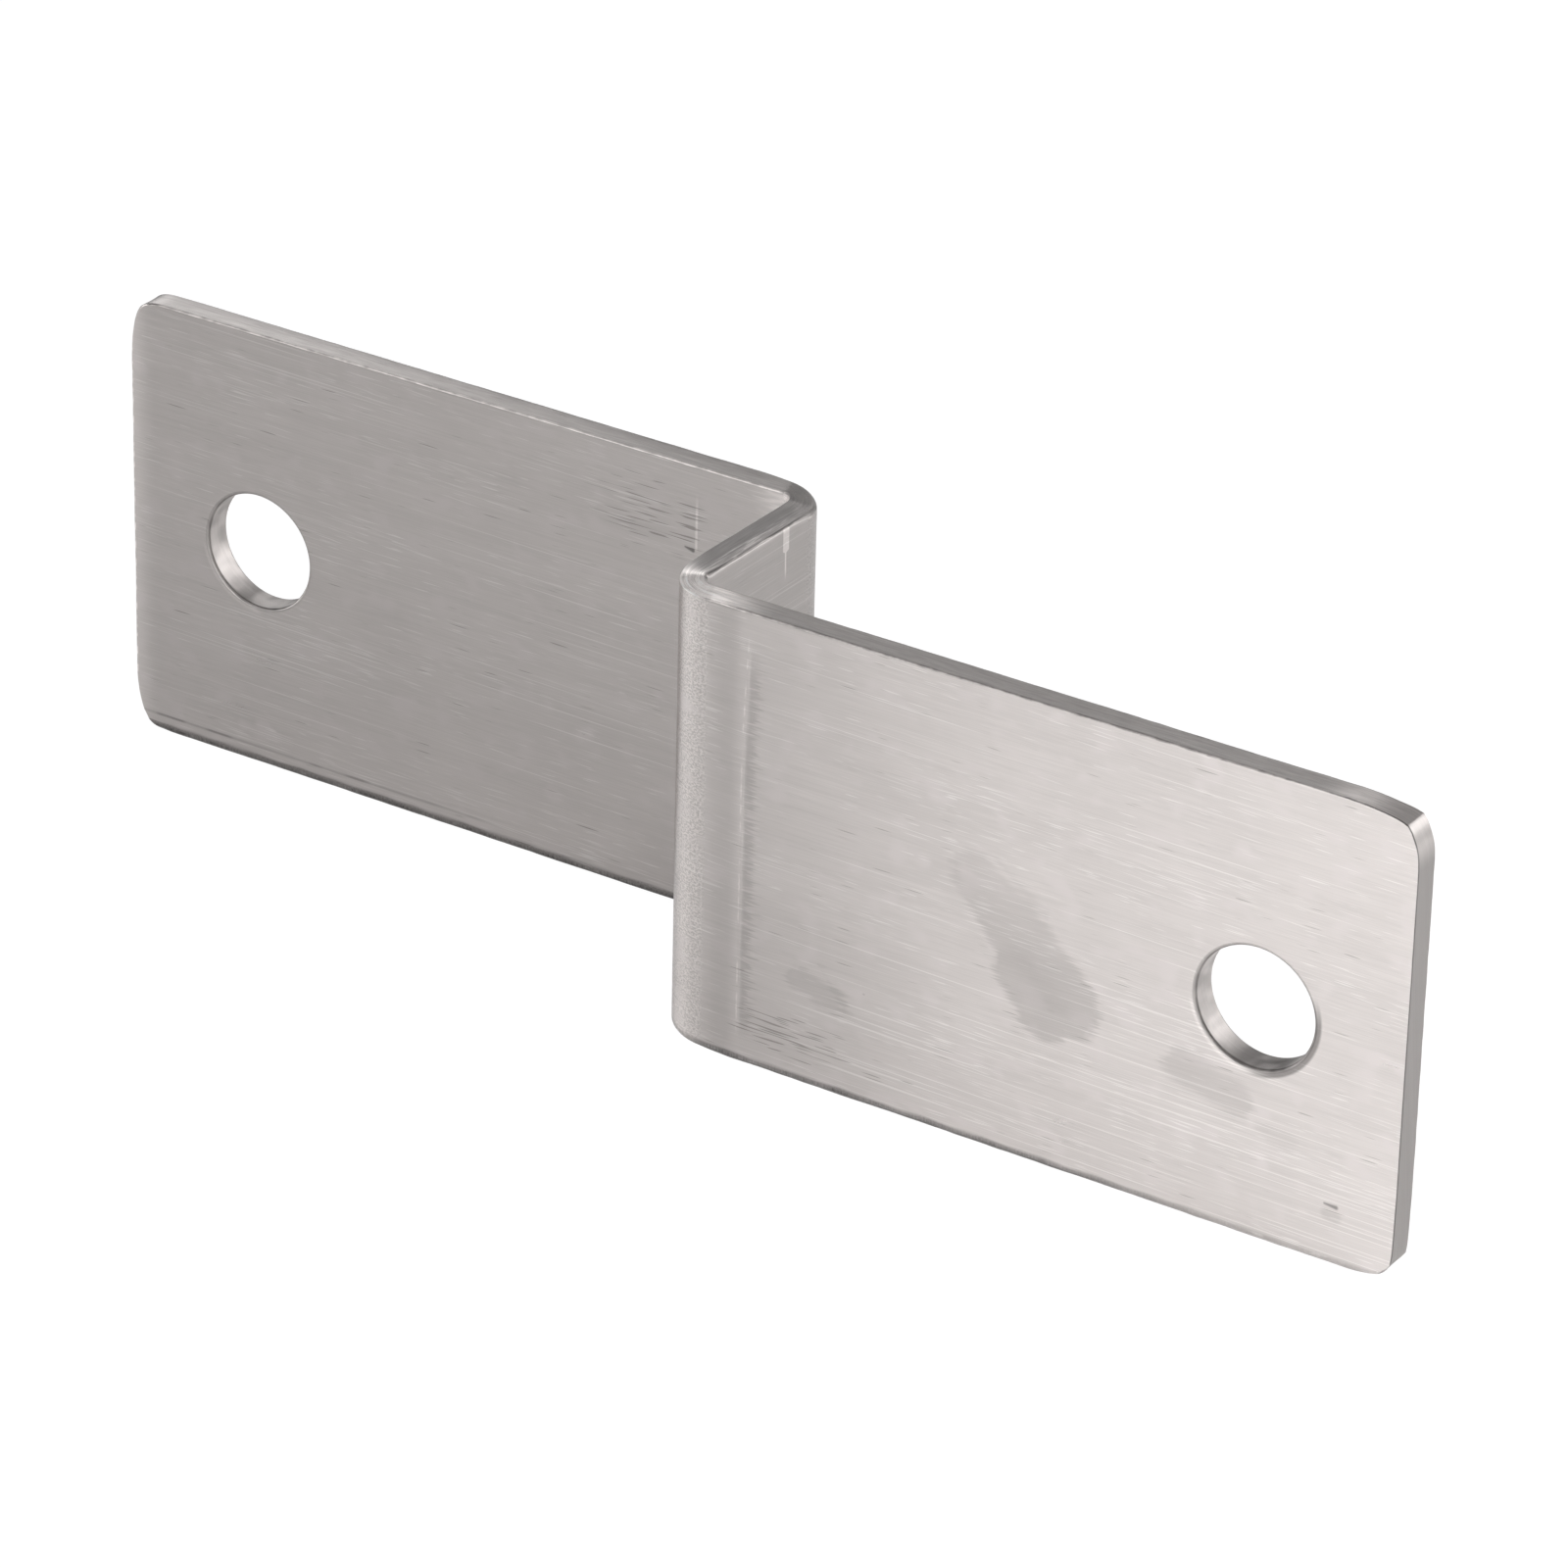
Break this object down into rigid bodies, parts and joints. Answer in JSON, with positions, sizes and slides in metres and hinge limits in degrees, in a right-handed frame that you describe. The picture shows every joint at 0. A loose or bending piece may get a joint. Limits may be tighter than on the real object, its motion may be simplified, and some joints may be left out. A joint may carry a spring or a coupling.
{
  "type": "z bracket",
  "caption": "Offset bracket folded twice from one flat strip of brushed stainless steel, with a round fixing hole near the end of each flange.",
  "frame": {"origin": "middle of the whole bracket's footprint, on the surface that its lower long edge stands on", "axes": "+X along the strip towards the end of the front flange, +Y from the front flange to the rear flange, +Z across the strip's width, upwards"},
  "size_m": [0.0996, 0.0164, 0.03],
  "materials": {
    "brushed_sheet": "stainless steel with hairlines brushed along the strip, light scratches, press marks by the folds and a few dull smudges"
  },
  "bodies": {
    "root": {"z_bracket": "brushed_sheet"}
  },
  "joints": []
}
